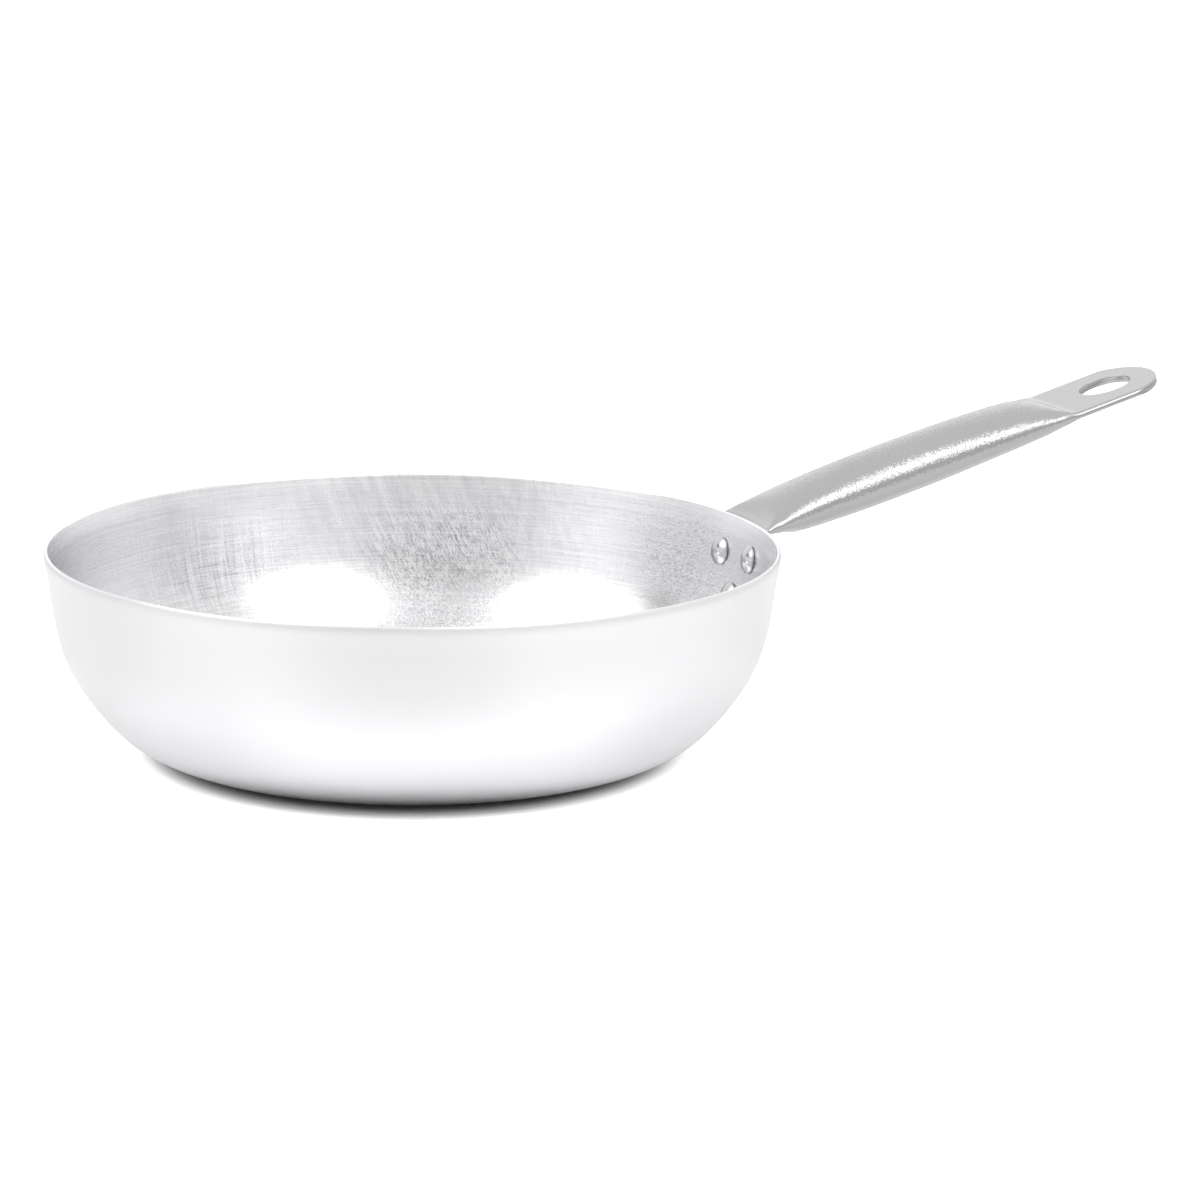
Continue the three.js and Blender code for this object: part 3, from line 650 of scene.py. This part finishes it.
def rivet_finish():
    """Polished aluminium with hairline rubbing marks, and a painted shade round the foot of the inner head."""
    mat, tree, bsdf = new_material("rivet_polished")
    place = node(tree, "ShaderNodeTexCoord").outputs["Object"]
    rub = node(tree, "ShaderNodeMapping", {"Vector": place, "Rotation": (0.4, 0.2, 0.9), "Scale": (2600.0, 2600.0, 350.0)})
    hair = noise(tree, rub.outputs[0], 1.0, 2.0, 0.6)
    cloud = noise(tree, place, 240.0, 2.0, 0.5)
    tone = calc(tree, "ADD", calc(tree, "MULTIPLY", calc(tree, "SUBTRACT", hair, 0.5), 0.06),
                calc(tree, "MULTIPLY", calc(tree, "SUBTRACT", cloud, 0.5), 0.06))
    # Painted shade: the inner head's foot is darkened by its distance from the wall, standing in for the shadow in the
    # gap.
    x, y, z = node(tree, "ShaderNodeSeparateXYZ", {0: place}).outputs
    radius = calc(tree, "SQRT", calc(tree, "ADD", calc(tree, "MULTIPLY", x, x), calc(tree, "MULTIPLY", y, y)))
    lift = calc(tree, "SUBTRACT", calc(tree, "MULTIPLY_ADD", z, 0.165, 0.1357 - 0.062 * 0.165), radius)
    foot = calc(tree, "MAXIMUM", ramp(tree, lift, 0.0001, 0.0009, 0.35, 1.0), ramp(tree, radius, 0.1380, 0.1390))
    tree.links.new(grey(tree, calc(tree, "MULTIPLY", calc(tree, "ADD", tone, 0.66), foot), (0.002, 0.0, 0.010)), bsdf.inputs["Base Color"])
    tree.links.new(calc(tree, "ADD", calc(tree, "MULTIPLY", hair, 0.06), 0.05), bsdf.inputs["Roughness"])
    bump = node(tree, "ShaderNodeBump", {"Strength": 0.35, "Distance": 0.00002,
                                         "Height": calc(tree, "ADD", calc(tree, "MULTIPLY", hair, 0.3), cloud)})
    tree.links.new(bump.outputs[0], bsdf.inputs["Normal"])
    bsdf.inputs["Metallic"].default_value = 1.0
    return mat


# ------------------------------------------------------------------ camera, light and floor
TURN_TO_PAN = Matrix.Rotation(-23.4 * RAD, 3, "Z")  # from the viewer's axes to the pan's


def make_camera():
    tilt, roll = 12.804523 * RAD, 0.711830 * RAD
    fwd = Vector((0, math.cos(tilt), -math.sin(tilt)))
    rise = Vector((0, math.sin(tilt), math.cos(tilt)))
    right = math.cos(roll) * Vector((1, 0, 0)) + math.sin(roll) * rise
    up = -math.sin(roll) * Vector((1, 0, 0)) + math.cos(roll) * rise
    at = TURN_TO_PAN @ (Vector((71.02295, -1487.82584, 393.84716)) * MM)
    r, u, b = TURN_TO_PAN @ right, TURN_TO_PAN @ up, TURN_TO_PAN @ -fwd
    data = bpy.data.cameras.new("camera")
    data.sensor_fit, data.sensor_width, data.lens = "HORIZONTAL", 36.0, 120.0
    data.clip_start, data.clip_end = 0.05, 100.0
    cam = bpy.data.objects.new("camera", data)
    cam.matrix_world = Matrix(((r.x, u.x, b.x, at.x), (r.y, u.y, b.y, at.y), (r.z, u.z, b.z, at.z), (0, 0, 0, 1)))
    scene.collection.objects.link(cam)
    scene.camera = cam


def softbox(tree, direction, azimuth, elevation, half_wide, half_tall, soft):
    """1 inside a soft-edged window of the dome, in the viewer's azimuth (0 away from the viewer, degrees)."""
    a, e = azimuth * RAD, elevation * RAD
    mid = TURN_TO_PAN @ Vector((math.sin(a) * math.cos(e), math.cos(a) * math.cos(e), math.sin(e)))
    side = TURN_TO_PAN @ Vector((math.cos(a), -math.sin(a), 0))
    top = side.cross(mid)
    dot = [node(tree, "ShaderNodeVectorMath", {0: direction, 1: tuple(v)}, operation="DOT_PRODUCT").outputs["Value"]
           for v in (side, top, mid)]
    across, along = calc(tree, "ABSOLUTE", dot[0]), calc(tree, "ABSOLUTE", dot[1])
    w, t, s = math.sin(half_wide * RAD), math.sin(half_tall * RAD), math.sin(soft * RAD)
    box = calc(tree, "MULTIPLY", ramp(tree, across, w + s, w - s), ramp(tree, along, t + s, t - s))
    return calc(tree, "MULTIPLY", box, ramp(tree, dot[2], 0.0, 0.15))


def make_light():
    """Studio dome: darker surround in front, paler behind, and two large soft boxes in front on either side."""
    world = bpy.data.worlds.new("studio")
    world.use_nodes = True
    scene.world = world
    tree = world.node_tree
    direction = node(tree, "ShaderNodeTexCoord").outputs["Generated"]
    z = node(tree, "ShaderNodeSeparateXYZ", {0: direction}).outputs[2]
    away = node(tree, "ShaderNodeVectorMath", {0: direction, 1: tuple(TURN_TO_PAN @ Vector((0, 1, 0)))},
                operation="DOT_PRODUCT").outputs["Value"]
    low = calc(tree, "ADD", ramp(tree, away, -0.97, -0.45, FRONT_LEVEL, SIDE_LEVEL), ramp(tree, away, 0.4, 0.95, 0.0, BACK_LEVEL - SIDE_LEVEL))
    rise = ramp(tree, z, 0.20, 0.90)
    base = calc(tree, "ADD", low, calc(tree, "MULTIPLY", rise, calc(tree, "SUBTRACT", TOP_LEVEL, low)))
    level = base
    for strength, *shape in SOFT_BOXES:
        level = calc(tree, "ADD", level, calc(tree, "MULTIPLY", softbox(tree, direction, *shape), strength))
    tree.links.new(grey(tree, level), tree.nodes["Background"].inputs["Color"])
    tree.nodes["Background"].inputs["Strength"].default_value = 1.0


def plane(name, height, level, shades):
    """Large matt floor with painted shade: its brightness changes by a factor between two radii round each given point.
    """
    size = 14000.0
    ob = make_object(name, [(-size, -size, height), (size, -size, height), (size, size, height), (-size, size, height)], [(0, 1, 2, 3)])
    mat = bpy.data.materials.new(name)
    mat.use_nodes = True
    tree = mat.node_tree
    tree.nodes.clear()
    place = node(tree, "ShaderNodeTexCoord").outputs["Object"]
    for across, forward, start, end, factor in shades:
        point = TURN_TO_PAN @ Vector((across, -forward, 0))
        distance = node(tree, "ShaderNodeVectorMath", {0: place, 1: tuple(point)}, operation="DISTANCE").outputs["Value"]
        level = calc(tree, "MULTIPLY", level, ramp(tree, distance, start, end, 1.0, factor))
    diffuse = node(tree, "ShaderNodeBsdfDiffuse", {"Color": grey(tree, level)})
    tree.links.new(diffuse.outputs[0], node(tree, "ShaderNodeOutputMaterial").inputs["Surface"])
    ob.data.materials.append(mat)
    return ob


def make_floors():
    """Pale floor that the camera sees, with a painted contact shadow round the pan's foot, and the same floor as the
    metal mirrors it, with a painted dark disc under the pan and a painted darker ring, far floor and patches.
    """
    seen = plane("floor", 0.0, FLOOR_PALE, FLOOR_PAINTED_SHADOW)
    seen.visible_diffuse = seen.visible_glossy = seen.visible_transmission = seen.visible_shadow = False
    plane("floor_mirrored_painted_shade", -0.2, MIRRORED_PALE, MIRRORED_PAINTED_SHADE).visible_camera = False


FRONT_LEVEL, SIDE_LEVEL, BACK_LEVEL, TOP_LEVEL = 0.72, 0.86, 1.15, 0.98
# Strength, azimuth (0 away from the viewer, 180 towards), elevation, half width, half height, soft edge.
SOFT_BOXES = [
    (1.75, 180 - 46.5, 45, 16, 16, 8),
    (1.75, 180 + 70.5, 44, 18, 16, 8),
    (-0.15, 180 + 9, 36, 14, 16, 7),
    (-0.60, 180 + 96, 22, 9, 7, 4),
    (0.10, 180 + 80, 5, 20, 10, 8),
    (0.08, 180 - 88, 5, 14, 10, 8),
    (-0.06, 180 - 58, 8, 14, 12, 8),
]
# Levels of a floor and its painted shade: centre to the right of and towards the viewer, radii between which it changes
# (metres), factor.
FLOOR_PALE, MIRRORED_PALE = 0.33, 0.062
# Painted contact shadow: the camera's floor is darker round the pan's foot, a little towards the viewer.
FLOOR_PAINTED_SHADOW = [(0.0, 0.015, 0.082, 0.101, 3.33), (0.0, 0.015, 0.092, 0.106, 1.60)]
# Painted shade on the floor that only the metal mirrors: a dark disc under the pan with the floor just round it
# brightest, a darker ring and far floor, and darker patches, setting what the metal reflects.
MIRRORED_PAINTED_SHADE = [
    (0.0, 0.022, 0.074, 0.100, 18.0), (0.0, 0.0, 0.155, 0.225, 0.835), (0.0, 0.0, 0.26, 0.70, 0.62),
    (-0.13, 0.075, 0.12, 0.05, 0.87), (0.12, 0.03, 0.10, 0.04, 0.87), (0.0, 0.27, 0.16, 0.06, 0.86),
    (-0.26, -0.01, 0.17, 0.07, 0.87), (0.27, -0.06, 0.12, 0.05, 0.94),
]

make_camera()
make_light()
make_floors()
scene.view_settings.view_transform = "Standard"
scene.view_settings.look = "None"

# ------------------------------------------------------------------ bowl
profile, crown = bowl_profile()
points, faces, spans = lathe(profile, 288)
bowl = make_object("bowl_shell", points, faces, [0 if i < crown else 1 for i in spans], (outside_finish(), inside_finish()))
cut(bowl, rivet_holes())
tidy(bowl, 40)
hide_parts("pan_body")
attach(bowl, "root")

# ------------------------------------------------------------------ handle
handle = make_object("handle_tube", *handle_mesh(), materials=(handle_finish(),))
tidy(handle, 40)
cut(handle, hanging_hole())
cut(handle, rivet_holes())
tidy(handle, 40)
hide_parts("handle")
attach(handle, "root")

# ------------------------------------------------------------------ rivets
polished = rivet_finish()
for name, place in RIVETS.items():
    points, faces, _ = lathe(rivet_profile(place[1]), 72)
    m = rivet_matrix(*place)
    rivet = make_object("rivet_head_" + name, [m @ Vector(p) for p in points], faces, materials=(polished,))
    tidy(rivet, 40)
    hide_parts("rivet_" + name)
    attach(rivet, "root")
